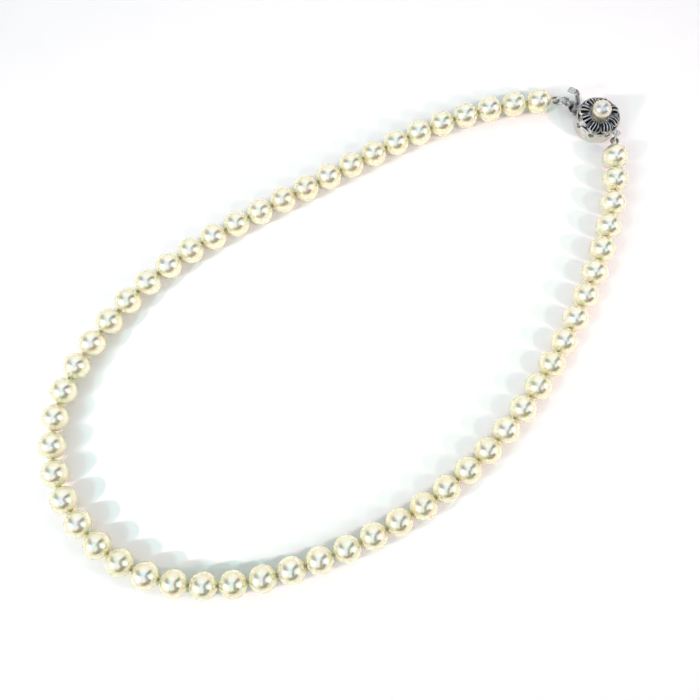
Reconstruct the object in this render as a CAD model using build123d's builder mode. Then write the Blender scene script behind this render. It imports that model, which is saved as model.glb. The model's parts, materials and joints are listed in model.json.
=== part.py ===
"""Pearl necklace: a knotted strand of round pearls, closed by a flower box clasp with a spring tongue.

The strand lies in its closed loop on the plane z = 0. The origin is the middle of the loop's outline,
on that plane. Millimetres, +Z up.
"""

import os
from math import cos, radians, sin, sqrt

from build123d import *

# Strand
pearl_diameter = 7.0
pearl_gap = 0.2  # one silk knot between each two pearls
pearls_per_link = 3
link_count = 19
bore_radius = 0.45
silk_radius = 0.25
knot_radius = 0.45
knot_height = 0.14
silk_joint_gap = 0.16  # from a knot at a hinge to the silk of the next link

# French wire loop on each end of the silk, and the jump ring that hangs in it
gimp_mean_radius = 0.9
gimp_wire_radius = 0.32
gimp_core_radius = 0.2
gimp_arc = 290
loop_silk_radius = 0.16
gimp_clearance = 0.15
ring_mean_radius = 1.8
ring_wire_radius = 0.28

# Clasp: a round box, worked out in its own frame with x pointing out of the tongue's slot
clasp_turn = 143  # degrees from +X to the slot
box_ring_turn = 68  # degrees from +X, from the strand's first loop to the box's eye
drum_radius = 5.9
drum_height = 4.6
drum_wall = 0.5
back_thickness = 0.5
slot_width = 4.9
slot_floor = 1.0
slot_top = 3.9
eye_height = 2.4
eye_mean_radius = 0.88
eye_wire_radius = 0.25

# Flower on the box
flower_radius = 6.25
petal_count = 8
first_petal_turn = 14.5  # degrees from the slot
wires_per_petal = 4
petal_wire_radius = 0.2
quatrefoil_turns = (59.5, 104.5, 149.5, 239.5, 284.5)  # degrees from the slot
quatrefoil_height = 3.4
cup_radius = 2.45
cup_angle = 52  # from straight down to the cup's lip
centre_pearl_radius = 2.7
centre_pearl_height = 7.8
peg_radius = 0.4

# Tongue: a lower leaf with its eye, and a spring upper leaf that carries the trigger
leaf_thickness = 0.35
leaf_width = 3.9
leaf_floor = 1.4
nose_x = -2.2
fold_x = -1.75
fold_z = 1.93
upper_leaf_width = 3.5
catch_x = 4.5
catch_rise = 0.3
lever_x = 6.9
lever_side = -0.6
lever_width = 1.7
lever_lean = 1.35
lever_top = 7.8
pad_length = 1.55
curl_radius = 0.75
lever_tab_width = 2.4
joggle_x = 7.7
eye_hole_radius = 0.64
tail_width = 2.4

pearl_radius = pearl_diameter / 2
pearl_pitch = pearl_diameter + pearl_gap
pearl_count = pearls_per_link * link_count
side_wall_x = drum_radius - drum_wall
up = Vector(0, 0, 1)

# The loop that the knots follow, from the box clasp's ring round to the tongue's
route_points = [
    (74.9, 52.9), (73.6, 38.0), (68.8, 21.0), (56.6, -5.0), (40.0, -28.8), (18.8, -47.6),
    (-7.2, -60.8), (-35.0, -66.7), (-49.2, -64.2), (-61.3, -56.8), (-70.4, -46.0), (-74.6, -32.2),
    (-73.0, -18.2), (-66.6, -5.2), (-53.2, 11.8), (-36.4, 24.9), (-17.6, 36.0), (1.0, 46.6),
    (20.3, 57.0), (40.2, 64.4), (59.0, 67.2),
]


def write(name, label):
    """Labels a finished sub-part and writes it as a STEP file."""
    name.part.label = label
    export_step(name.part, f"parts/{label}.step")


def middle(a, b):
    return (a + b) / 2


# Knots lie a pitch apart along the route, and the whole loop is then centred on the origin
with BuildLine() as route:
    curve = Spline(*route_points)
raw_knots = [
    curve.position_at(number * pearl_pitch, position_mode=PositionMode.LENGTH)
    for number in range(pearl_count + 1)
]
raw_centres = [middle(a, b) for a, b in zip(raw_knots, raw_knots[1:])]
centring = Vector(
    -(min(c.X for c in raw_centres) + max(c.X for c in raw_centres)) / 2,
    -(min(c.Y for c in raw_centres) + max(c.Y for c in raw_centres)) / 2,
    pearl_radius,
)
knots = [k + centring for k in raw_knots]


loop_reach = gimp_clearance - pearl_gap / 2 + gimp_mean_radius + gimp_wire_radius


def silk_end(end_knot, inner_knot):
    """The loop beyond an end pearl: its centre and the direction that it leaves the pearl in."""
    outward = (end_knot - inner_knot).normalized()
    return end_knot + outward * loop_reach, outward


def ring_step(loop_height):
    """How far apart, seen from above, the ring's wire passes two loops at different heights."""
    offset = abs(loop_height - eye_height) / 2
    return 2 * sqrt(ring_mean_radius**2 - offset**2)


# The box hangs from the first end; the tongue's eye is where the other end's ring meets the slot's axis
box_pin, box_outward = silk_end(knots[0], knots[1])
tongue_pin, tongue_outward = silk_end(knots[-1], knots[-2])
pin_step = ring_step(pearl_radius)
slot_direction = Vector(cos(radians(clasp_turn)), sin(radians(clasp_turn)), 0)
slot_side = up.cross(slot_direction)
ring_direction = Vector(cos(radians(box_ring_turn)), sin(radians(box_ring_turn)), 0)
eye_reach = drum_radius + eye_mean_radius
box_eye_pin = box_pin + ring_direction * pin_step
drum_centre = box_eye_pin + slot_direction * eye_reach
drum_centre = Vector(drum_centre.X, drum_centre.Y, 0)
across = tongue_pin - drum_centre
along = across.dot(slot_direction)
aside = across.dot(slot_side)
tongue_eye_x = along - sqrt(pin_step**2 - aside**2)
tongue_eye_pin = drum_centre + slot_direction * tongue_eye_x
clasp = Plane(origin=drum_centre, x_dir=slot_direction, z_dir=(0, 0, 1))
clasp_side = Plane(origin=drum_centre, x_dir=slot_direction, z_dir=-slot_side)
slot_mouth = Plane(origin=drum_centre, x_dir=slot_side, z_dir=slot_direction)


def in_clasp(x, y, z):
    """A point of the clasp's own frame, in the part's frame."""
    return drum_centre + slot_direction * x + slot_side * y + Vector(0, 0, z)


os.makedirs("parts", exist_ok=True)

# Strand, link by link


def pearls_of_link(sides):
    with BuildPart() as pearls:
        for start, end in sides:
            with Locations(Plane(origin=middle(start, end), z_dir=end - start)):
                Sphere(pearl_radius)
                Cylinder(bore_radius, pearl_diameter + pearl_gap / 2, mode=Mode.SUBTRACT)
    return pearls


def silk_of_link(sides, next_direction, starts_at_hinge):
    """Silk through the link's bores, with a knot after each pearl."""
    with BuildPart() as silk:
        for number, (start, end) in enumerate(sides):
            direction = (end - start).normalized()
            first_knot = number == 0 and starts_at_hinge
            begin = start + direction * silk_joint_gap if first_knot else start
            leaving = sides[number + 1][1] - end if end != sides[-1][1] else next_direction
            with Locations(Plane(origin=middle(begin, end), z_dir=direction)):
                Cylinder(silk_radius, (end - begin).length)
            with Locations(Plane(origin=end, z_dir=direction + leaving.normalized())):
                Cylinder(knot_radius, knot_height)
    return silk


def silk_loop(end_knot, loop_centre, outward):
    """The loop that the silk makes beyond an end pearl, with the knot that closes it."""
    near = loop_centre - outward * gimp_mean_radius
    with BuildPart() as loop:
        with Locations(Plane(origin=end_knot, z_dir=outward)):
            Cylinder(knot_radius, knot_height)
        with Locations(Plane(origin=middle(end_knot, near), z_dir=outward)):
            Cylinder(loop_silk_radius, (near - end_knot).length)
        with Locations(loop_centre):
            Torus(gimp_mean_radius, loop_silk_radius)
    return loop


loops = {0: (knots[0], box_pin, box_outward), link_count - 1: (knots[-1], tongue_pin, tongue_outward)}
for link in range(link_count):
    first = link * pearls_per_link
    last = first + pearls_per_link
    sides = list(zip(knots[first:last], knots[first + 1 : last + 1]))
    link_pearls = pearls_of_link(sides)
    write(link_pearls, f"pearls_{link + 1:02d}")
    following = knots[last + 1] - knots[last] if last < pearl_count else tongue_outward
    with BuildPart() as link_silk:
        add(silk_of_link(sides, following, starts_at_hinge=link > 0).part)
        if link in loops:
            add(silk_loop(*loops[link]).part)
    write(link_silk, f"silk_{link + 1:02d}")


def gimp(loop_centre, outward):
    """Coiled French wire over the silk loop, open towards the pearl."""
    across_loop = up.cross(outward)
    half_open = radians((360 - gimp_arc) / 2)
    start = outward * -cos(half_open) + across_loop * sin(half_open)
    section = Plane(origin=loop_centre + start * gimp_mean_radius, x_dir=start, z_dir=start.cross(up))
    with BuildPart() as coil:
        with BuildSketch(section):
            Circle(gimp_wire_radius)
            Circle(gimp_core_radius, mode=Mode.SUBTRACT)
        revolve(axis=Axis(loop_centre, (0, 0, -1)), revolution_arc=gimp_arc)
    return coil


def jump_ring(loop_pin, eye_pin):
    """A round wire ring that stands on edge through a silk loop and an eye."""
    direction = Vector(eye_pin.X - loop_pin.X, eye_pin.Y - loop_pin.Y, 0).normalized()
    centre = middle(loop_pin, eye_pin)
    ring_centre = Vector(centre.X, centre.Y, (pearl_radius + eye_height) / 2)
    with BuildPart() as ring:
        with Locations(Plane(origin=ring_centre, x_dir=direction, z_dir=direction.cross(up))):
            Torus(ring_mean_radius, ring_wire_radius)
    return ring


box_gimp = gimp(box_pin, box_outward)
write(box_gimp, "box_gimp")
tongue_gimp = gimp(tongue_pin, tongue_outward)
write(tongue_gimp, "tongue_gimp")
box_ring = jump_ring(box_pin, box_eye_pin)
write(box_ring, "box_jump_ring")
tongue_ring = jump_ring(tongue_pin, tongue_eye_pin)
write(tongue_ring, "tongue_jump_ring")

# Box of the clasp

with BuildPart() as drum:
    with BuildSketch(clasp):
        Circle(drum_radius)
        Circle(side_wall_x, mode=Mode.SUBTRACT)
    extrude(amount=drum_height)
    with BuildSketch(slot_mouth):
        with Locations((0, (slot_floor + slot_top) / 2)):
            RectangleRounded(slot_width, slot_top - slot_floor, 0.4)
    extrude(amount=drum_radius + 1, mode=Mode.SUBTRACT)
write(drum, "clasp_drum")

with BuildPart() as back_plate:
    with BuildSketch(clasp):
        Circle(side_wall_x)
    extrude(amount=back_thickness)
write(back_plate, "clasp_back_plate")

with BuildPart() as catch_bar:
    with BuildSketch(clasp.offset(slot_top)):
        Circle(side_wall_x)
        with Locations((-drum_radius + catch_x + catch_rise, 0)):
            Rectangle(2 * drum_radius, 2 * drum_radius, mode=Mode.SUBTRACT)
        Rectangle(2 * drum_radius, slot_width, mode=Mode.INTERSECT)
    extrude(amount=drum_height - slot_top)
write(catch_bar, "catch_bar")

with BuildPart() as box_eye:
    with Locations(in_clasp(-eye_reach, 0, eye_height)):
        Torus(eye_mean_radius, eye_wire_radius)
    with BuildSketch(clasp):
        Circle(drum_radius)
    extrude(amount=drum_height, mode=Mode.SUBTRACT)
write(box_eye, "box_eye")

with BuildPart() as drum_rim:
    with BuildSketch(clasp.offset(drum_height - 0.35)):
        Circle(drum_radius + 0.22)
        Circle(drum_radius, mode=Mode.SUBTRACT)
    extrude(amount=0.35)
write(drum_rim, "drum_rim")

with BuildPart() as quatrefoils:
    for turn in quatrefoil_turns:
        outward = slot_direction.rotate(Axis.Z, turn)
        wall_plane = Plane(
            origin=drum_centre + outward * (drum_radius - 0.1) + up * quatrefoil_height,
            x_dir=outward.cross(up),
            z_dir=outward,
        )
        with BuildSketch(wall_plane):
            with PolarLocations(0.42, 4):
                Circle(0.4)
            with PolarLocations(0.42, 4):
                Circle(0.16, mode=Mode.SUBTRACT)
        extrude(amount=0.32)
    with BuildSketch(clasp):
        Circle(drum_radius)
    extrude(amount=drum_height, mode=Mode.SUBTRACT)
write(quatrefoils, "side_quatrefoils")

# Flower: a dome with arched petal wires round a cup and its pearl

with BuildPart() as dome:
    with BuildSketch(clasp_side):
        with BuildLine():
            outer = ThreePointArc((drum_radius - 0.05, drum_height), (4.55, 5.45), (cup_radius, 6.0))
            Line(outer @ 1, (cup_radius, 5.55))
            inner = ThreePointArc((cup_radius, 5.55), (4.2, 5.1), (side_wall_x, drum_height))
            Line(inner @ 1, outer @ 0)
        make_face()
    revolve(axis=Axis(drum_centre, (0, 0, 1)))
write(dome, "flower_dome")

wire_spread = 360 / petal_count * 0.68


def petal_wire(turn, bow):
    """One arched wire from the cup out to the rim of its petal."""
    outward = slot_direction.rotate(Axis.Z, turn)
    inner_end = drum_centre + outward * (cup_radius + 0.35) + up * 6.35
    crest = drum_centre + outward * 4.0 + up * (6.35 + bow)
    outer_end = drum_centre + outward * (flower_radius - 1.25) + up * 5.55
    with BuildPart() as wire:
        with BuildLine():
            path = ThreePointArc(inner_end, crest, outer_end)
        with BuildSketch(Plane(origin=path @ 0, z_dir=path % 0)):
            Circle(petal_wire_radius)
        sweep()
    return wire.part


petal_wire_solids = []
for petal in range(petal_count):
    for wire_number in range(wires_per_petal):
        share = wire_number / (wires_per_petal - 1) - 0.5
        petal_turn = first_petal_turn + petal * 360 / petal_count
        petal_wire_solids.append(petal_wire(petal_turn + share * wire_spread, 0.3 * (1 - abs(share))))
with BuildPart() as petal_wires:
    add(petal_wire_solids)
write(petal_wires, "petal_wires")

petal_rim_solids = []
for petal in range(petal_count):
    petal_turn = first_petal_turn + petal * 360 / petal_count
    half_petal = 180 / petal_count - 2.4
    ends = [slot_direction.rotate(Axis.Z, petal_turn + side * half_petal) for side in (-1, 1)]
    tip = slot_direction.rotate(Axis.Z, petal_turn)
    with BuildPart() as petal_rim:
        with BuildLine():
            rim_path = ThreePointArc(
                drum_centre + ends[0] * (flower_radius - 0.75) + Vector(0, 0, 5.2),
                drum_centre + tip * flower_radius + Vector(0, 0, 4.62 + petal_wire_radius),
                drum_centre + ends[1] * (flower_radius - 0.75) + Vector(0, 0, 5.2),
            )
        with BuildSketch(Plane(origin=rim_path @ 0, z_dir=rim_path % 0)):
            Circle(petal_wire_radius)
        sweep()
    petal_rim_solids.append(petal_rim.part)
with BuildPart() as petal_rims:
    add(petal_rim_solids)
write(petal_rims, "petal_rims")

cup_inner = centre_pearl_radius + 0.05
cup_outer = cup_inner + 0.3
with BuildPart() as cup:
    with BuildSketch(clasp_side):
        with BuildLine():
            bowl = CenterArc((0, centre_pearl_height), cup_outer, -90, cup_angle)
            seat = CenterArc((0, centre_pearl_height), cup_inner, -90, cup_angle)
            Line(bowl @ 1, seat @ 1)
            Line(seat @ 0, bowl @ 0)
        make_face()
    revolve(axis=Axis(drum_centre, (0, 0, 1)))
    with BuildSketch(clasp):
        Circle(peg_radius)
    extrude(amount=centre_pearl_height, mode=Mode.SUBTRACT)
write(cup, "pearl_cup")

with BuildPart() as peg:
    with BuildSketch(clasp.offset(centre_pearl_height - cup_outer)):
        Circle(peg_radius)
    extrude(amount=cup_outer - 0.2)
write(peg, "pearl_peg")

with BuildPart() as centre_pearl:
    with Locations(in_clasp(0, 0, centre_pearl_height)):
        Sphere(centre_pearl_radius)
    with BuildSketch(clasp.offset(centre_pearl_height)):
        Circle(peg_radius + 0.05)
    extrude(amount=-centre_pearl_radius - 0.1, mode=Mode.SUBTRACT)
write(centre_pearl, "centre_pearl")

# Tongue

tail_rise = eye_height - leaf_floor - leaf_thickness / 2
tail_end = tongue_eye_x + tail_width / 2
with BuildPart() as tongue:
    with BuildSketch(clasp_side):
        with BuildLine():
            Polyline(
                (nose_x + 0.25, leaf_floor),
                (joggle_x + 0.1, leaf_floor),
                (joggle_x + 0.1 + tail_rise, leaf_floor + tail_rise),
                (tail_end, leaf_floor + tail_rise),
                (tail_end, leaf_floor + tail_rise + leaf_thickness),
                (joggle_x + tail_rise, leaf_floor + tail_rise + leaf_thickness),
                (joggle_x, leaf_floor + leaf_thickness),
                (fold_x - 0.1, leaf_floor + leaf_thickness),
                (fold_x - 0.1, fold_z + 0.3),
                (nose_x + 0.25, fold_z + 0.3),
            )
            ThreePointArc(
                (nose_x + 0.25, fold_z + 0.3),
                (nose_x, (leaf_floor + fold_z + 0.3) / 2),
                (nose_x + 0.25, leaf_floor),
            )
        make_face()
    extrude(amount=leaf_width / 2, both=True)
    with BuildSketch(clasp):
        with Locations(((nose_x + drum_radius) / 2, 0)):
            Rectangle(drum_radius - nose_x + 1.2, leaf_width)
        with Locations((joggle_x - 0.1, 0)):
            Rectangle(2.2, 3.0)
        with Locations(((joggle_x + tongue_eye_x) / 2, 0)):
            Rectangle(tongue_eye_x - joggle_x, tail_width)
        with Locations((tongue_eye_x, 0)):
            Circle(tail_width / 2)
            Circle(eye_hole_radius, mode=Mode.SUBTRACT)
    extrude(amount=drum_height, mode=Mode.INTERSECT)
write(tongue, "tongue_leaf")

# Spring leaf and trigger, which turn together about the tongue's fold

leaf_start_x = fold_x + 0.05
leaf_start_z = fold_z + 0.12
leaf_end_z = 3.28
leaf_mouth_x = side_wall_x + 0.1
leaf_mouth_z = 3.1
half_leaf = leaf_thickness / 2
with BuildPart() as spring_leaf:
    with BuildSketch(clasp_side):
        with BuildLine():
            Polyline(
                (leaf_start_x, leaf_start_z - half_leaf),
                (leaf_mouth_x, leaf_mouth_z - half_leaf),
                (lever_x + half_leaf, leaf_end_z - half_leaf),
                (lever_x + half_leaf, leaf_end_z + half_leaf),
                (leaf_mouth_x, leaf_mouth_z + half_leaf),
                (catch_x + 0.15, leaf_mouth_z + catch_rise),
                (catch_x - 0.6, leaf_mouth_z - 0.12 + half_leaf),
                (leaf_start_x, leaf_start_z + half_leaf),
                close=True,
            )
        make_face()
    extrude(amount=upper_leaf_width / 2, both=True)
    with BuildSketch(clasp):
        with Locations(((leaf_start_x + leaf_mouth_x) / 2, 0)):
            Rectangle(leaf_mouth_x - leaf_start_x, upper_leaf_width)
        with Locations(((leaf_mouth_x + lever_x + half_leaf) / 2, lever_side / 2)):
            Rectangle(lever_x + half_leaf - leaf_mouth_x, lever_tab_width)
    extrude(amount=drum_height, mode=Mode.INTERSECT)
write(spring_leaf, "spring_leaf")

lever_plane = clasp_side.offset(-lever_side)
with BuildLine(lever_plane) as lever_path:
    stem = Line((lever_x, leaf_end_z + half_leaf), (lever_x + lever_lean, lever_top - curl_radius))
    curl = JernArc(stem @ 1, stem % 1, curl_radius, -82)
    pad = Line(curl @ 1, curl @ 1 + (curl % 1) * pad_length)
    JernArc(pad @ 1, pad % 1, 0.45, -50)
with BuildPart() as trigger:
    with BuildSketch(Plane(origin=lever_path.line @ 0, x_dir=slot_side, z_dir=lever_path.line % 0)):
        Rectangle(lever_width, leaf_thickness)
    sweep(path=lever_path.line)
write(trigger, "trigger_lever")

pad_direction = pad % 0
pad_up = -pad_direction.cross(-slot_side)
pad_top = Plane(origin=(pad @ 0) + pad_up * half_leaf, x_dir=pad_direction, z_dir=-slot_side)
bead_count = 4
bead_pitch = pad.length / bead_count
with BuildPart() as grip_beads:
    with BuildSketch(pad_top):
        with Locations([((bead + 0.5) * bead_pitch, 0) for bead in range(bead_count)]):
            Circle(0.17)
        with Locations((0, -1)):
            Rectangle(20, 2, mode=Mode.SUBTRACT)
    extrude(amount=lever_width / 2, both=True)
write(grip_beads, "trigger_grip_beads")
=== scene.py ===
"""Pearl necklace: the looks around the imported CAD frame.

Lengths are in millimetres, and are multiplied by MM where they reach Blender.
"""

import json
from math import asin, cos, pi, radians, sin, sqrt, tan
from random import Random

import bmesh
import bpy
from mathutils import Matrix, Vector, noise

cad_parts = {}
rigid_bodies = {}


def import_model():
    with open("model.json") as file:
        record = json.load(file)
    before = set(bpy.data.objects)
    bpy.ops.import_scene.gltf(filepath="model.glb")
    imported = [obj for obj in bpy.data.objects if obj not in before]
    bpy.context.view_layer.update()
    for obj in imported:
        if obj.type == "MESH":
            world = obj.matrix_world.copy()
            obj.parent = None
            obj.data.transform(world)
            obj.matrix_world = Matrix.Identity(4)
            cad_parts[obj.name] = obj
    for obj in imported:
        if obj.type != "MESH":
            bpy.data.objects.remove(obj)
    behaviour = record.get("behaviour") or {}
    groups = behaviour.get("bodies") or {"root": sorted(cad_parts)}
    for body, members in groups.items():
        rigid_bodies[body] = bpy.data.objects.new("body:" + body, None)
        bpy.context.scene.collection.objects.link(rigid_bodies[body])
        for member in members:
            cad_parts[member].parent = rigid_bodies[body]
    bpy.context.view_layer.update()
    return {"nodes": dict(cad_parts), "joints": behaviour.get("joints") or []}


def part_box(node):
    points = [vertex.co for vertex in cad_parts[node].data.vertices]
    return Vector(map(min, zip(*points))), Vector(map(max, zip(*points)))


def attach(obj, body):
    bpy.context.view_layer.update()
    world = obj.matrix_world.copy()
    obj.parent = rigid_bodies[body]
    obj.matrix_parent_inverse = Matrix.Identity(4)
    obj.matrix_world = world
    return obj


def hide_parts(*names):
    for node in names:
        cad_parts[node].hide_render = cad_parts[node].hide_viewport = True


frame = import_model()

MM = 0.001
nodes = frame["nodes"]
joint_place = {j["name"]: Vector(j["pos_m"]) / MM for j in frame["joints"]}
UP = Vector((0, 0, 1))

WELD = 2e-6  # metres: points of a CAD mesh that are nearer than this are one point

PEARL_RADIUS = 3.5
BORE_RADIUS = 0.34
LINKS = 19
PEARLS_PER_LINK = 3


# ---------------------------------------------------------------- mesh helpers


def add_object(name, points, faces, smooth=True):
    """A mesh object at the origin, from points in millimetres in the CAD frame."""
    mesh = bpy.data.meshes.new(name)
    mesh.from_pydata([tuple(Vector(p) * MM) for p in points], [], faces)
    mesh.validate()
    mesh.polygons.foreach_set("use_smooth", [smooth] * len(mesh.polygons))
    obj = bpy.data.objects.new(name, mesh)
    bpy.context.scene.collection.objects.link(obj)
    return obj


class Shape:
    """Points and faces of one mesh, put together from several pieces, with one float value per point."""

    def __init__(self):
        self.points, self.faces, self.values = [], [], []

    def add(self, points, faces, values=None):
        base = len(self.points)
        self.points += points
        self.faces += [tuple(base + i for i in f) for f in faces]
        self.values += values if values is not None else [0.0] * len(points)

    def build(self, name, attribute=None):
        obj = add_object(name, self.points, self.faces)
        if attribute:
            layer = obj.data.attributes.new(attribute, "FLOAT", "POINT")
            layer.data.foreach_set("value", self.values)
        return obj


def frames_along(path, closed):
    """For each point of a path: its tangent and a normal that turns as little as it can."""
    count = len(path)
    tangents = []
    for i in range(count):
        before = path[(i - 1) % count] if closed or i else path[0]
        after = path[(i + 1) % count] if closed or i < count - 1 else path[-1]
        tangents.append((after - before).normalized())
    normal = tangents[0].orthogonal().normalized()
    normals = []
    for tangent in tangents:
        normal = (normal - tangent * normal.dot(tangent)).normalized()
        normals.append(normal)
    return tangents, normals


def rows_of_faces(rows, width, loop):
    """Faces between neighbouring rings of points, each of that width.

    A loop joins the last ring to the first. Otherwise both end rings are capped.
    """
    faces = []
    for i in range(rows if loop else rows - 1):
        j = (i + 1) % rows
        for k in range(width):
            m = (k + 1) % width
            faces.append((i * width + k, i * width + m, j * width + m, j * width + k))
    if not loop:
        faces.append(tuple(reversed(range(width))))
        faces.append(tuple(range((rows - 1) * width, rows * width)))
    return faces


def tube(path, radius, sides=8, closed=False):
    """Points and faces of a tube along a path.

    The radius is a number, or a function of the share of the way.
    """
    count = len(path)
    tangents, normals = frames_along(path, closed)
    points = []
    for i, (point, tangent, normal) in enumerate(zip(path, tangents, normals)):
        side = tangent.cross(normal)
        r = radius(i / (count - 1)) if callable(radius) else radius
        for k in range(sides):
            turn = 2 * pi * k / sides
            points.append(point + normal * (r * cos(turn)) + side * (r * sin(turn)))
    return points, rows_of_faces(count, sides, closed)


def lathe(profile, segments, place, closed=True):
    """Points and faces of a profile of (radius, height) pairs turned about an axis.

    place maps local coordinates to the CAD frame. An open profile starts and ends near the axis, and is
    capped there.
    """
    points = []
    for radius, height in profile:
        for k in range(segments):
            turn = 2 * pi * k / segments
            points.append(place(radius * cos(turn), radius * sin(turn), height))
    return points, rows_of_faces(len(profile), segments, closed)


def refined(node, name, bevel):
    """A copy of a CAD node with its facets joined into clean faces and its edges rounded."""
    mesh = nodes[node].data.copy()
    shape = bmesh.new()
    shape.from_mesh(mesh)
    bmesh.ops.remove_doubles(shape, verts=shape.verts, dist=WELD)
    bmesh.ops.dissolve_limit(shape, angle_limit=radians(1.0), verts=shape.verts, edges=shape.edges)
    shape.to_mesh(mesh)
    shape.free()
    mesh.name = name
    mesh.materials.clear()
    obj = bpy.data.objects.new(name, mesh)
    bpy.context.scene.collection.objects.link(obj)
    modifier = obj.modifiers.new("edges", "BEVEL")
    modifier.width = bevel * MM
    modifier.segments = 3
    modifier.limit_method = "ANGLE"
    modifier.angle_limit = radians(32)
    modifier.use_clamp_overlap = True
    modifier.harden_normals = True
    mesh.polygons.foreach_set("use_smooth", [True] * len(mesh.polygons))
    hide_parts(node)
    return obj


# ---------------------------------------------------------------- materials


class Material:
    """A node material with a Principled shader, and short calls for the nodes that feed it."""

    def __init__(self, name, **sockets):
        self.material = bpy.data.materials.new(name)
        self.material.use_nodes = True
        self.tree = self.material.node_tree
        self.shader = self.tree.nodes["Principled BSDF"]
        for socket, value in sockets.items():
            self.shader.inputs[socket.replace("_", " ")].default_value = value

    def node(self, kind, links=None, **settings):
        made = self.tree.nodes.new(kind)
        for key, value in settings.items():
            if key in made.inputs:
                made.inputs[key].default_value = value
            else:
                setattr(made, key, value)
        for key, source in (links or {}).items():
            self.tree.links.new(source, made.inputs[key])
        return made

    def coordinates(self, stretch=(1, 1, 1)):
        source = self.node("ShaderNodeTexCoord").outputs["Object"]
        mapping = self.node("ShaderNodeMapping", {"Vector": source})
        mapping.inputs["Scale"].default_value = stretch
        return mapping.outputs["Vector"]

    def noise(self, scale, detail=3.0, stretch=(1, 1, 1)):
        links = {"Vector": self.coordinates(stretch)}
        made = self.node("ShaderNodeTexNoise", links, Scale=scale, Detail=detail, Roughness=0.55)
        return made.outputs["Fac"]

    def ramp(self, value, stops):
        made = self.node("ShaderNodeValToRGB", {"Fac": value})
        elements = made.color_ramp.elements
        while len(elements) < len(stops):
            elements.new(0.5)
        for element, (place, colour) in zip(elements, stops):
            element.position = place
            element.color = (*colour, 1)
        return made.outputs["Color"]

    def grey_ramp(self, value, stops):
        return self.ramp(value, [(place, (level, level, level)) for place, level in stops])

    def math(self, operation, a, b):
        made = self.node("ShaderNodeMath", operation=operation)
        for socket, value in zip(made.inputs, (a, b)):
            if isinstance(value, (int, float)):
                socket.default_value = value
            else:
                self.tree.links.new(value, socket)
        return made.outputs["Value"]

    def mix(self, share, a, b):
        made = self.node("ShaderNodeMix", data_type="RGBA")
        colour_a, colour_b = [s for s in made.inputs if s.type == "RGBA"]
        for socket, value in ((made.inputs["Factor"], share), (colour_a, a), (colour_b, b)):
            if isinstance(value, tuple):
                socket.default_value = (*value, 1)
            elif isinstance(value, (int, float)):
                socket.default_value = value
            else:
                self.tree.links.new(value, socket)
        return next(s for s in made.outputs if s.type == "RGBA")

    def attribute(self, name):
        return self.node("ShaderNodeAttribute", attribute_name=name).outputs["Fac"]

    def bump(self, height, strength, distance, under=None):
        links = {"Height": height}
        if under is not None:
            links["Normal"] = under
        made = self.node("ShaderNodeBump", links, Strength=strength, Distance=distance * MM)
        return made.outputs["Normal"]

    def feed(self, socket, source):
        self.tree.links.new(source, self.shader.inputs[socket])


def make_nacre(name, body, glow, rough):
    """Nacre: a soft, slightly metallic body colour under a clear coat.

    body is a colour ramp. Each pearl's tint attribute and faint clouds choose the place on it.
    """
    made = Material(
        name, Metallic=0.72, IOR=1.62, Coat_Weight=1.0, Coat_Roughness=0.05, Coat_IOR=1.55,
        Coat_Tint=(1.0, 0.98, 0.90, 1), Subsurface_Weight=1.0, Subsurface_Radius=(1.0, 0.55, 0.25),
        Subsurface_Scale=0.0016, Specular_Tint=glow,
    )
    clouds = made.noise(190, 3.0)
    tint = made.math("MULTIPLY", made.attribute("tint"), 0.45)
    colour = made.ramp(made.math("ADD", made.math("MULTIPLY", clouds, 0.55), tint), body)
    rings = made.math("MULTIPLY", made.noise(900, 2.0, (1, 1, 0.35)), 0.16)
    made.feed("Base Color", made.mix(rings, colour, (0.95, 0.93, 0.84)))
    made.feed("Roughness", made.grey_ramp(made.noise(700, 4.0), [(0.3, rough), (0.7, rough + 0.05)]))
    growth = made.bump(made.noise(520, 2.0), 0.15, 0.03)
    made.feed("Normal", made.bump(made.noise(3200, 2.0), 0.10, 0.01, growth))
    return made.material


def make_silk():
    """Silk cord: matt fibres with a little sheen. Their colour is the silk's own cream, made lighter and warm tan
    with painted light: the warm glow that the pearls bounce into the gaps between them.
    """
    made = Material("silk", Sheen_Weight=0.35, Sheen_Roughness=0.45, Specular_IOR_Level=0.25)
    fibre = made.noise(9000, 4.0, (1, 1, 0.3))
    # The tan in these stops is painted bounce light from the pearls, laid over the silk's own cream
    stops = [(0.25, (0.84, 0.64, 0.40)), (0.6, (0.95, 0.80, 0.56)), (0.8, (0.97, 0.88, 0.70))]
    made.feed("Base Color", made.ramp(fibre, stops))
    made.feed("Roughness", made.grey_ramp(fibre, [(0.3, 0.85), (0.7, 0.68)]))
    made.feed("Normal", made.bump(fibre, 0.6, 0.03))
    return made.material


def make_metal(name, bright, dull, rough, mask=None, scratch=1.0, patina=0.35, spots=420):
    """Metal with soft patina clouds, fine scratches, and black oxide where the mask attribute is 1.

    patina is how much of the dull colour the clouds bring in, spots how fine they are, and scratch the
    strength of the relief.
    """
    made = Material(name, Metallic=1.0)
    clouds = made.noise(spots, 4.0)
    grain = made.noise(5200, 3.0, (1, 0.12, 1))
    patches = made.grey_ramp(clouds, [(0.35, 0.0), (0.72, patina)])
    colour = made.mix(patches, bright, dull)
    scratches = made.grey_ramp(grain, [(0.35, rough * 0.8), (0.75, rough * 1.6 + 0.04)])
    roughness = made.math("ADD", scratches, made.math("MULTIPLY", patches, 0.25))
    if mask:
        oxide = made.attribute(mask)
        colour = made.mix(oxide, colour, (0.012, 0.012, 0.011))
        roughness = made.math("ADD", roughness, made.math("MULTIPLY", oxide, 0.35))
    made.feed("Base Color", colour)
    made.feed("Roughness", roughness)
    waves = made.bump(made.noise(900, 3.0), 0.12 * scratch, 0.05)
    made.feed("Normal", made.bump(grain, 0.10 * scratch, 0.02, waves))
    return made.material


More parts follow.
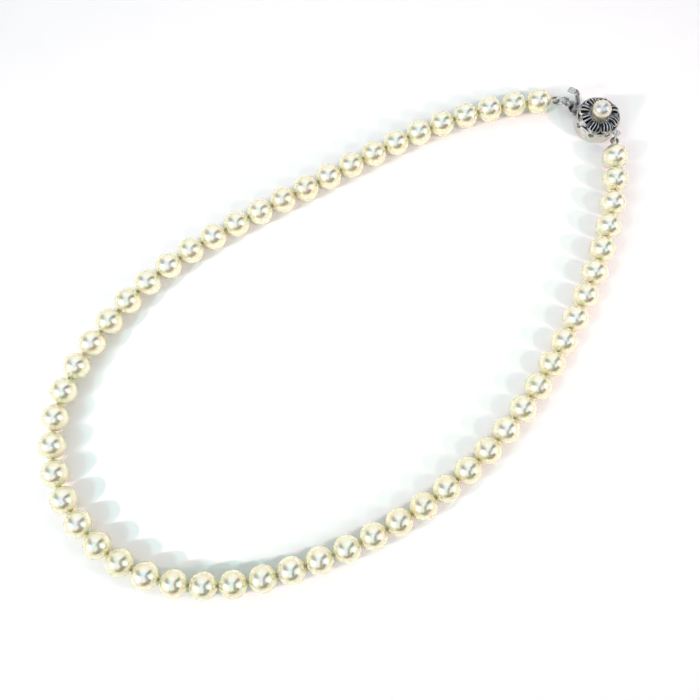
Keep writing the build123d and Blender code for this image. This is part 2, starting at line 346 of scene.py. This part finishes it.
CREAM = [
    (0.15, (0.86, 0.83, 0.61)),
    (0.45, (0.88, 0.87, 0.68)),
    (0.62, (0.89, 0.88, 0.71)),
    (0.85, (0.87, 0.85, 0.64)),
]
WHITE = [(0.2, (0.68, 0.67, 0.60)), (0.6, (0.73, 0.73, 0.67)), (0.85, (0.70, 0.69, 0.62))]
NACRE = make_nacre("nacre", CREAM, (1.0, 0.97, 0.86, 1), 0.15)
NACRE_WHITE = make_nacre("nacre_white", WHITE, (1.0, 0.99, 0.95, 1), 0.20)
SILK = make_silk()
SILVER = make_metal("silver_polished", (0.80, 0.775, 0.69), (0.56, 0.535, 0.46), 0.14)
SILVER_AGED = make_metal(
    "silver_aged", (0.60, 0.58, 0.52), (0.05, 0.047, 0.04), 0.20, scratch=1.8, patina=1.0, spots=1500
)
SILVER_CAST = make_metal(
    "silver_cast", (0.80, 0.78, 0.71), (0.17, 0.155, 0.125), 0.17, "oxide", scratch=1.4, patina=0.75, spots=700
)
OXIDE = make_metal("silver_oxidised", (0.05, 0.05, 0.048), (0.02, 0.02, 0.02), 0.42, scratch=1.5)
GILT = make_metal("gilt", (0.60, 0.48, 0.28), (0.34, 0.25, 0.13), 0.22)
GIMP = make_metal("gimp_wire", (0.42, 0.40, 0.37), (0.045, 0.035, 0.028), 0.25, patina=0.95)


def finish_piece(obj, material, body, slot, *replaced):
    """Gives a piece its material and the body that it rides on, and hides the CAD nodes that it stands for. The
    slot is not used.
    """
    obj.data.materials.clear()
    obj.data.materials.append(material)
    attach(obj, body)
    if replaced:
        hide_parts(*replaced)
    return obj


# ---------------------------------------------------------------- strand


def solid_centres(node):
    """The middle of each separate solid of a CAD node."""
    shape = bmesh.new()
    shape.from_mesh(nodes[node].data)
    bmesh.ops.remove_doubles(shape, verts=shape.verts, dist=WELD)
    shape.verts.ensure_lookup_table()
    seen, centres = set(), []
    for vertex in shape.verts:
        if vertex.index in seen:
            continue
        seen.add(vertex.index)
        front, group = [vertex], []
        while front:
            v = front.pop()
            group.append(v.co.copy())
            for edge in v.link_edges:
                other = edge.other_vert(v)
                if other.index not in seen:
                    seen.add(other.index)
                    front.append(other)
        low = Vector([min(c[i] for c in group) for i in range(3)])
        high = Vector([max(c[i] for c in group) for i in range(3)])
        centres.append((low + high) / 2 / MM)
    shape.free()
    return centres


# The place of the hinge before each link but the first, by the link's number
hinges = {}
for j in frame["joints"]:
    if j["parent"].startswith("link_") and j["child"].startswith("link_"):
        hinges[max(int(j["parent"][-2:]), int(j["child"][-2:]))] = joint_place[j["name"]]

centres = []
for link in range(1, LINKS + 1):
    found = solid_centres(f"pearls_{link:02d}")
    near = hinges[2] if link == 1 else hinges[link]
    found.sort(key=lambda c: (c - near).length, reverse=link == 1)
    centres += found

# Each pearl is centred between two knots
knots = [None] * (len(centres) + 1)
knots[PEARLS_PER_LINK] = hinges[2]
for i in range(PEARLS_PER_LINK, 0, -1):
    knots[i - 1] = centres[i - 1] * 2 - knots[i]
for i in range(PEARLS_PER_LINK, len(centres)):
    knots[i + 1] = centres[i] * 2 - knots[i]
    if (i + 1) % PEARLS_PER_LINK == 0 and (i + 1) // PEARLS_PER_LINK + 1 in hinges:
        knots[i + 1] = hinges[(i + 1) // PEARLS_PER_LINK + 1]


def pearl_profile(radius, bore, through, rings=34, lip=0.09):
    """The outline of a drilled pearl from one lip of its bore to the other, and back through the bore.

    A half-drilled pearl's outline starts at the blind end of its bore and stops at its top.
    """
    first = asin((bore + lip) / radius)
    last = pi - first if through else pi - 0.01
    angles = [first + (last - first) * i / rings for i in range(rings + 1)]
    outline = [(radius * sin(a), -radius * cos(a)) for a in angles]
    edge = sqrt(radius**2 - bore**2) - lip
    bottom = [(bore, -edge), (bore + lip * 0.35, -edge - lip * 0.62)]
    if not through:
        return [(0.02, radius * 0.35), (bore, radius * 0.35)] + bottom + outline
    return outline + [(bore + lip * 0.35, edge + lip * 0.62), (bore, edge)] + bottom


def pearl(shape, centre, direction, radius, bore, seed, segments=60, through=True):
    """Adds one pearl to a shape: round to the eye, but with the slight waves of a grown one.

    The bore keeps its exact shape. The shift moves each pearl to its own place in the noise.
    """
    draw = Random(seed)
    along = direction.normalized()
    side = along.cross(UP).normalized()
    top = side.cross(along)
    shift = Vector([draw.uniform(-50, 50) for axis in range(3)])
    tint = draw.random()

    def place(x, y, z):
        local = side * x + top * y + along * z
        away = local.normalized()
        wave = 0.0045 * noise.noise(away * 1.3 + shift) + 0.0012 * noise.noise(away * 4.0 + shift)
        in_bore = x * x + y * y < (bore * 1.01) ** 2 and local.length < radius * 0.985
        return centre + local * (1 if in_bore else 1 + wave)

    points, faces = lathe(pearl_profile(radius, bore, through), segments, place, closed=through)
    shape.add(points, faces, [tint] * len(points))


def strand_twist(shape, start, end, ply_radius=0.125, offset=0.115, pitch=0.95):
    """Two plies of silk twisted about the line from start to end."""
    along = (end - start).normalized()
    side = along.orthogonal().normalized()
    other = along.cross(side)
    length = (end - start).length
    steps = max(4, int(length / pitch * 8))
    for ply in range(2):
        path = []
        for i in range(steps + 1):
            turn = 2 * pi * (length / pitch) * i / steps + ply * pi
            aside = side * (offset * cos(turn)) + other * (offset * sin(turn))
            path.append(start + along * (length * i / steps) + aside)
        shape.add(*tube(path, ply_radius, 6))


def silk_knot(shape, centre, direction, seed):
    """An overhand knot, pulled tight between two pearls: a trefoil seen along the silk."""
    size, thread, rise, steps = 0.40, 0.115, 0.045, 54
    draw = Random(seed)
    along = direction.normalized()
    side = along.orthogonal().normalized()
    other = along.cross(side)
    phase = draw.uniform(0, 2 * pi)
    path = []
    for i in range(steps):
        t = 2 * pi * i / steps
        x = (sin(t) + 1.6 * sin(2 * t)) / 2.6
        y = (cos(t) - 1.6 * cos(2 * t)) / 2.6
        a, b = x * cos(phase) - y * sin(phase), x * sin(phase) + y * cos(phase)
        path.append(centre + side * (size * a) + other * (size * b) - along * (rise * sin(3 * t)))
    shape.add(*tube(path, thread, 8, closed=True))


def end_loop(shape, end_knot, loop, seed):
    """The silk beyond the last pearl: a knot, a short thinner twist and the loop that holds the jump ring."""
    outward = (loop - end_knot).normalized()
    across = UP.cross(outward)
    silk_knot(shape, end_knot, outward, seed)
    strand_twist(shape, end_knot, loop - outward * GIMP_RADIUS, 0.07, 0.065, 0.5)
    turns = [2 * pi * k / 40 for k in range(40)]
    ring = [loop + (outward * cos(turn) + across * sin(turn)) * GIMP_RADIUS for turn in turns]
    shape.add(*tube(ring, 0.14, 8, closed=True))


GIMP_RADIUS = 0.9
PEARL_SEED, KNOT_SEED, END_SEED = 100, 300, 900
box_loop = joint_place["box_loop_swivel"]
tongue_loop = joint_place["tongue_loop_swivel"]

for link in range(1, LINKS + 1):
    first = (link - 1) * PEARLS_PER_LINK
    body = f"link_{link:02d}"
    pearls, silk = Shape(), Shape()
    for i in range(first, first + PEARLS_PER_LINK):
        direction = knots[i + 1] - knots[i]
        pearl(pearls, centres[i], direction, PEARL_RADIUS, BORE_RADIUS, PEARL_SEED + i)
        strand_twist(silk, knots[i], knots[i + 1])
        following = knots[i + 2] - knots[i + 1] if i + 2 < len(knots) else direction
        silk_knot(silk, knots[i + 1], direction + following, KNOT_SEED + i)
    if link == 1:
        end_loop(silk, knots[0], box_loop, END_SEED + link)
    if link == LINKS:
        end_loop(silk, knots[-1], tongue_loop, END_SEED + link)
    finish_piece(pearls.build(f"nacre_{link:02d}", "tint"), NACRE, body, "pearl_nacre", f"pearls_{link:02d}")
    finish_piece(silk.build(f"thread_{link:02d}"), SILK, body, "silk_thread", f"silk_{link:02d}")


# ---------------------------------------------------------------- loops and rings


def gimp_coil(name, loop, end_knot, body, node):
    """Fine wire coiled over the end loop of the silk, open towards the pearl."""
    outward = (loop - end_knot).normalized()
    across = UP.cross(outward)
    arc = radians(290)
    turns, coil_radius, wire_radius = 26, 0.255, 0.072
    steps = turns * 14
    path = []
    for i in range(steps + 1):
        share = i / steps
        around = -arc / 2 + arc * share
        radial = outward * cos(around) + across * sin(around)
        coil = 2 * pi * turns * share
        swollen = coil_radius * (1 + 0.08 * sin(9 * around) + 0.05 * sin(23 * around))
        path.append(loop + radial * (GIMP_RADIUS + swollen * cos(coil)) + UP * (swollen * sin(coil)))
    shape = Shape()
    shape.add(*tube(path, wire_radius, 7))
    return finish_piece(shape.build(name), GIMP, body, "gimp_wire", node)


gimp_coil("gimp_coil_box", box_loop, knots[0], "link_01", "box_gimp")
gimp_coil("gimp_coil_tongue", tongue_loop, knots[-1], "link_19", "tongue_gimp")


def jump_ring(name, node, body, loop, eye):
    """A round wire ring with the fine cut where it was closed, and the file marks beside it."""
    low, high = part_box(node)
    centre = (low + high) / 2 / MM
    direction = Vector((eye.x - loop.x, eye.y - loop.y, 0)).normalized()
    wire, cut, steps = 0.28, 0.018, 96
    radius = (high.z - low.z) / MM / 2 - wire
    missing = cut / radius
    path = []
    for k in range(steps + 1):
        turn = missing / 2 + (2 * pi - missing) * k / steps + radians(60)
        path.append(centre + direction * (radius * cos(turn)) + UP * (radius * sin(turn)))

    def filed(share):
        return wire * (1 - 0.10 * max(0, 1 - min(share, 1 - share) / 0.012))

    shape = Shape()
    shape.add(*tube(path, filed, 18))
    return finish_piece(shape.build(name), SILVER, body, "silver", node)


box_eye_pin = joint_place["box_eye_swivel"]
tongue_eye_pin = joint_place["tongue_eye_swivel"]
jump_ring("ring_wire_box", "box_jump_ring", "box_ring", box_loop, box_eye_pin)
jump_ring("ring_wire_tongue", "tongue_jump_ring", "tongue_ring", tongue_loop, tongue_eye_pin)


# ---------------------------------------------------------------- clasp

low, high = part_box("clasp_back_plate")
drum_centre = Vector(((low.x + high.x) / 2, (low.y + high.y) / 2, 0)) / MM
slot_direction = Vector((tongue_eye_pin.x - drum_centre.x, tongue_eye_pin.y - drum_centre.y, 0)).normalized()
slot_side = UP.cross(slot_direction)
DRUM_RADIUS = 5.9
DRUM_HEIGHT = 4.6
FIRST_PETAL = radians(14.5)


def in_clasp(x, y, z):
    """A point of the clasp: x from the drum's axis towards the slot, y to its side, z up from the table."""
    return drum_centre + slot_direction * x + slot_side * y + UP * z


def polar(radius, turn, height):
    return in_clasp(radius * cos(turn), radius * sin(turn), height)


def smooth_step(low_edge, high_edge, value):
    t = min(1, max(0, (value - low_edge) / (high_edge - low_edge)))
    return t * t * (3 - 2 * t)


def petal_point(share, across, turn, sink=0.0):
    """A point of the smooth petal: share runs from the cup to the tip, across from one edge to the other."""
    inner, crest, tip = (2.35, 5.9), (4.25, 7.45), (6.22, 4.78)  # each a distance from the axis, and a height
    weights = ((1 - share) ** 2, 2 * share * (1 - share), share**2)
    out, height = [sum(w * p[i] for w, p in zip(weights, (inner, crest, tip))) for i in range(2)]
    widest = 0.56
    fan = out * tan(radians(21.6)) - 0.02
    round_off = 1.0 if share < widest else sqrt(max(0.0, 1 - ((share - widest) / (1 - widest)) ** 2))
    half = max(0.03, fan * round_off)
    pull = 0.34 * across**2 * smooth_step(0.35, 1.0, share)
    droop = 0.90 * abs(across) ** 2.3 * smooth_step(0.0, 0.35, share)
    return in_petal(out - pull, across * half, height - droop - sink, turn)


def in_petal(out, side, height, turn):
    return in_clasp(out * cos(turn) - side * sin(turn), out * sin(turn) + side * cos(turn), height)


def petal_relief(share, across, ribs, swirl, margin):
    """How far the petal is cut down here: 0 on a rib or on the margin, and 1 on the floor of a window."""
    bent = across + swirl * (share - 0.35) ** 2
    inside = smooth_step(0.08, 0.16, share)
    inside *= 1 - smooth_step(0.95 - margin, 1.01 - margin, share + 0.14 * across**2)
    inside *= 1 - smooth_step(1 - margin, 1 - margin * 0.5, abs(across))
    wave = 0.5 - 0.5 * cos(2 * pi * ribs * (bent + 1) / 2)
    return inside * smooth_step(0.18, 0.36, wave)


def petal_mesh(shape, turn, ribs, swirl, margin):
    """Adds one petal to a shape: a curved plate with its windows cut down to depth.

    Each top point's value says how far it is cut down, which the oxide follows. Every underside point gets 0.6, so
    the whole underside is darker.
    """
    rows, columns, thickness, depth = 60, 88, 0.50, 0.40
    top, bottom, values = [], [], []
    for i in range(rows + 1):
        for k in range(columns + 1):
            share, across = i / rows, 2 * k / columns - 1
            cut = petal_relief(share, across, ribs, swirl, margin)
            top.append(petal_point(share, across, turn, depth * cut))
            bottom.append(petal_point(share, across, turn, thickness))
            values.append(cut)
    count = len(top)
    width = columns + 1
    faces = []
    for i in range(rows):
        for k in range(columns):
            a = i * width + k
            faces.append((a, a + width, a + width + 1, a + 1))
            faces.append((count + a, count + a + 1, count + a + width + 1, count + a + width))
    rim = list(range(width))
    rim += [i * width + columns for i in range(1, rows + 1)]
    rim += [rows * width + k for k in range(columns - 1, -1, -1)]
    rim += [i * width for i in range(rows - 1, 0, -1)]
    for a, b in zip(rim, rim[1:] + rim[:1]):
        faces.append((a, b, count + b, count + a))
    # Every underside point gets 0.6, so the whole underside is darker
    shape.add(top + bottom, faces, values + [0.6] * count)


# The windows of each petal, and the share of it that its smooth margin takes
PETAL_PLAN = ((3, 0.20), (3, 0.24), (4, 0.12), (4, 0.12), (4, 0.12), (3, 0.14), (3, 0.20), (4, 0.16))
PETAL_STEP = 2 * pi / len(PETAL_PLAN)
SWIRL = 0.7

petals = Shape()
for petal, (windows, margin) in enumerate(PETAL_PLAN):
    petal_mesh(petals, FIRST_PETAL + petal * PETAL_STEP, windows, SWIRL, margin)
flower = petals.build("flower_petals", "oxide")
finish_piece(flower, SILVER_CAST, "clasp_box", "silver", "petal_wires", "petal_rims")

# A second, lower ring of small arches that shows between the petals
arches = Shape()
for petal in range(len(PETAL_PLAN)):
    turn = FIRST_PETAL + (petal + 0.5) * PETAL_STEP
    for size, wire in ((1.0, 0.17), (0.62, 0.13)):
        path = []
        for i in range(25):
            t = i / 12 - 1
            side = 1.25 * size * t
            height = DRUM_HEIGHT + 0.12 - 0.85 * size * (1 - t * t)
            path.append(polar(6.02 - 0.10 * t * t, turn + side / DRUM_RADIUS, height))
        arches.add(*tube(path, wire, 10))
finish_piece(arches.build("rim_arches", "oxide"), SILVER_CAST, "clasp_box", "silver")


for node, name, bevel, material, body, slot in (
    ("clasp_drum", "drum_wall", 0.10, SILVER, "clasp_box", "silver"),
    ("clasp_back_plate", "drum_back", 0.08, SILVER, "clasp_box", "silver"),
    ("catch_bar", "drum_catch", 0.05, SILVER, "clasp_box", "silver"),
    ("drum_rim", "drum_bead", 0.09, SILVER, "clasp_box", "silver"),
    ("side_quatrefoils", "drum_quatrefoils", 0.04, SILVER_AGED, "clasp_box", "oxidised_silver"),
    ("pearl_cup", "gilt_cup", 0.06, GILT, "clasp_box", "gilt_silver"),
    ("pearl_peg", "gilt_peg", 0.04, GILT, "clasp_box", "gilt_silver"),
    ("tongue_leaf", "tongue_plate", 0.07, SILVER_AGED, "tongue", "silver"),
    ("spring_leaf", "tongue_spring", 0.07, SILVER_AGED, "trigger", "silver"),
    ("trigger_lever", "trigger_strip", 0.09, SILVER_AGED, "trigger", "silver"),
):
    finish_piece(refined(node, name, bevel), material, body, slot)

# CAD nodes that stay as they are, with a better material
for node, material, slot in (
    ("box_eye", SILVER, "silver"),
    ("flower_dome", OXIDE, "oxidised_silver"),
    ("trigger_grip_beads", SILVER, "silver"),
):
    nodes[node].data.materials.clear()
    nodes[node].data.materials.append(material)

# The centre pearl stands on its blind bore. Its direction leans a hair, because pearl() needs one that isn't UP
low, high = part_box("centre_pearl")
centre, radius = (low + high) / 2 / MM, (high.z - low.z) / 2 / MM
centre_pearl = Shape()
pearl(centre_pearl, centre, UP + slot_side * 0.001, radius, 0.43, seed=77, segments=72, through=False)
finish_piece(centre_pearl.build("nacre_centre", "tint"), NACRE_WHITE, "clasp_box", "pearl_nacre", "centre_pearl")

# ---------------------------------------------------------------- stage

FLOOR_REACH = 2500
FLOOR_HEIGHT = -0.02
floor_corners = [(x * FLOOR_REACH, y * FLOOR_REACH, FLOOR_HEIGHT) for x, y in ((-1, -1), (1, -1), (1, 1), (-1, 1))]
floor = add_object("floor", floor_corners, [(0, 1, 2, 3)])
paper = Material("paper", Roughness=0.6, Specular_IOR_Level=0.15)
grain = paper.grey_ramp(paper.noise(60, 2.0), [(0.3, 0.905), (0.7, 0.92)])
# Far from the middle only the greenish fill reaches the floor, so its paper turns pinkish there (in metres)
from_middle = paper.node("ShaderNodeVectorMath", {0: paper.coordinates()}, operation="LENGTH").outputs["Value"]
beyond = paper.grey_ramp(from_middle, [(0.14, 0.0), (0.40, 1.0)])
paper.feed("Base Color", paper.mix(beyond, grain, (0.95, 0.76, 0.80)))
floor.data.materials.append(paper.material)


def toward(azimuth, elevation, distance, target=(0, 0, 0)):
    """A point at that distance from the target, seen from it at that azimuth and elevation."""
    a, e = radians(azimuth), radians(elevation)
    return Vector(target) + Vector((cos(a) * cos(e), sin(a) * cos(e), sin(e))) * distance


def area_light(name, place, size, watts, colour, target, shape="RECTANGLE", spread=180):
    """A lamp that lights surfaces but isn't reflected: reflections come from the sky's patches.

    spread is the lamp's opening angle in degrees.
    """
    data = bpy.data.lights.new(name, "AREA")
    data.shape = shape
    data.size, data.size_y = size[0] * MM, size[1] * MM
    data.energy = watts
    data.spread = radians(spread)
    data.color = colour
    light = bpy.data.objects.new(name, data)
    light.location = place * MM
    light.rotation_euler = (Vector(target) - place).to_track_quat("-Z", "Y").to_euler()
    light.visible_glossy = False
    bpy.context.scene.collection.objects.link(light)


# A cool lamp and a warm one at each side, for the doubled shadows, and one long panel behind
LEFT, RIGHT = (-45, -5, 0), (50, 0, 0)
for name, azimuth, elevation, distance, target, size, watts, colour, spread in (
    ("light_left", 222, 47, 720, LEFT, (50, 46), 0.053, (0.55, 1.0, 0.98), 38),
    ("light_left_warm", 212, 36, 760, LEFT, (50, 44), 0.140, (1.0, 0.58, 0.63), 38),
    ("light_right", -21, 48, 460, RIGHT, (35, 32), 0.029, (0.88, 1.0, 0.72), 50),
    ("light_right_warm", -21, 33, 480, RIGHT, (35, 30), 0.098, (1.0, 0.46, 0.58), 50),
):
    place = toward(azimuth, elevation, distance, target)
    area_light(name, place, size, watts, colour, target, "ELLIPSE", spread)
area_light("panel_far", Vector((10, 230, 360)), (520, 110), 0.30, (1.0, 0.68, 0.84), (10, 200, 0))


class Sky:
    """The room around the necklace: a base colour, with soft patches at given azimuths and zenith angles."""

    def __init__(self, base):
        world = bpy.data.worlds.new("room")
        bpy.context.scene.world = world
        world.use_nodes = True
        self.tree = world.node_tree
        self.direction = self.tree.nodes.new("ShaderNodeTexCoord").outputs["Generated"]
        start = self.tree.nodes.new("ShaderNodeRGB")
        start.outputs[0].default_value = (*base, 1)
        self.colour = start.outputs[0]

    def patch(self, azimuth, zenith, inner, outer, colour):
        """Mixes in a round patch: all its colour within the inner angle, and none beyond the outer."""
        middle = toward(azimuth, 90 - zenith, 1)
        dot = self.tree.nodes.new("ShaderNodeVectorMath")
        dot.operation = "DOT_PRODUCT"
        dot.inputs[1].default_value = middle
        self.tree.links.new(self.direction, dot.inputs[0])
        share = self.tree.nodes.new("ShaderNodeMapRange")
        share.interpolation_type = "SMOOTHSTEP"
        share.inputs["From Min"].default_value = cos(radians(outer))
        share.inputs["From Max"].default_value = cos(radians(inner))
        self.tree.links.new(dot.outputs["Value"], share.inputs["Value"])
        self.mix(share.outputs["Result"], colour)

    def mix(self, share, colour):
        mixer = self.tree.nodes.new("ShaderNodeMix")
        mixer.data_type = "RGBA"
        below, above = [socket for socket in mixer.inputs if socket.type == "RGBA"]
        above.default_value = (*colour, 1)
        self.tree.links.new(self.colour, below)
        self.tree.links.new(share, mixer.inputs["Factor"])
        self.colour = next(socket for socket in mixer.outputs if socket.type == "RGBA")

    def finish(self, backdrop, fill):
        """Lights matt surfaces with one plain fill colour, and shows the camera a plain backdrop."""
        path = self.tree.nodes.new("ShaderNodeLightPath")
        self.mix(path.outputs["Is Diffuse Ray"], fill)
        self.mix(path.outputs["Is Camera Ray"], backdrop)
        self.tree.links.new(self.colour, self.tree.nodes["Background"].inputs["Color"])


sky = Sky((0.98, 0.96, 0.91))
# Each row: azimuth, zenith angle, inner angle, outer angle, colour. Windows are above 1, shade is far below
for azimuth, zenith, inner, outer, colour in (
    (0, 0, 15, 70, (0.80, 1.00, 1.40)),
    (92, 45, 16, 30, (1.12, 1.16, 1.45)),
    (90, 66, 18, 30, (1.06, 1.08, 1.2)),
    (350, 60, 10, 18, (1.6, 1.65, 2.1)),
    (205, 58, 15, 27, (1.5, 1.58, 2.0)),
    (152, 66, 6, 18, (0.38, 0.42, 0.48)),
    (162, 50, 8, 20, (0.24, 0.29, 0.38)),
    (172, 34, 5, 16, (0.36, 0.44, 0.60)),
    (38, 63, 6, 16, (0.22, 0.24, 0.28)),
    (36, 47, 6, 15, (0.07, 0.09, 0.14)),
    (32, 31, 5, 13, (0.08, 0.11, 0.18)),
    (12, 18, 3, 12, (0.16, 0.20, 0.32)),
    (325, 18, 3, 12, (0.22, 0.28, 0.42)),
    (256, 72, 8, 17, (0.34, 0.33, 0.29)),
    (274, 70, 10, 18, (0.14, 0.135, 0.11)),
    (294, 65, 13, 21, (0.05, 0.05, 0.04)),
    (316, 62, 9, 17, (0.08, 0.08, 0.07)),
):
    sky.patch(azimuth, zenith, inner, outer, colour)
sky.finish((0.98, 0.98, 0.98), (0.45, 0.605, 0.57))


def shade_card(name, corners, colour):
    """A flat shape above the necklace that only reflections see, as the camera and the arms that hold it."""
    card = add_object(name, corners, [tuple(range(len(corners)))], smooth=False)
    made = Material(
        name, Base_Color=(0, 0, 0, 1), Specular_IOR_Level=0.0, Emission_Color=(*colour, 1), Emission_Strength=1.0
    )
    card.data.materials.append(made.material)
    for ray in ("camera", "diffuse", "transmission", "volume_scatter", "shadow"):
        setattr(card, f"visible_{ray}", False)


ARM_OUTLINE = [(16, -70, 230), (66, -70, 230), (150, -330, 150), (10, -330, 150)]
shade_card("arm_shade", ARM_OUTLINE, (0.20, 0.21, 0.24))

camera_data = bpy.data.cameras.new("camera")
camera_data.lens = 44.23
camera_data.sensor_width = 36.0
camera_data.clip_start = 0.005
camera = bpy.data.objects.new("camera", camera_data)
camera.location = Vector((0.45, -71.93, 218.09)) * MM
camera.rotation_euler = (radians(16.75), 0, 0)
bpy.context.scene.collection.objects.link(camera)
bpy.context.scene.camera = camera
bpy.context.scene.view_settings.view_transform = "Standard"
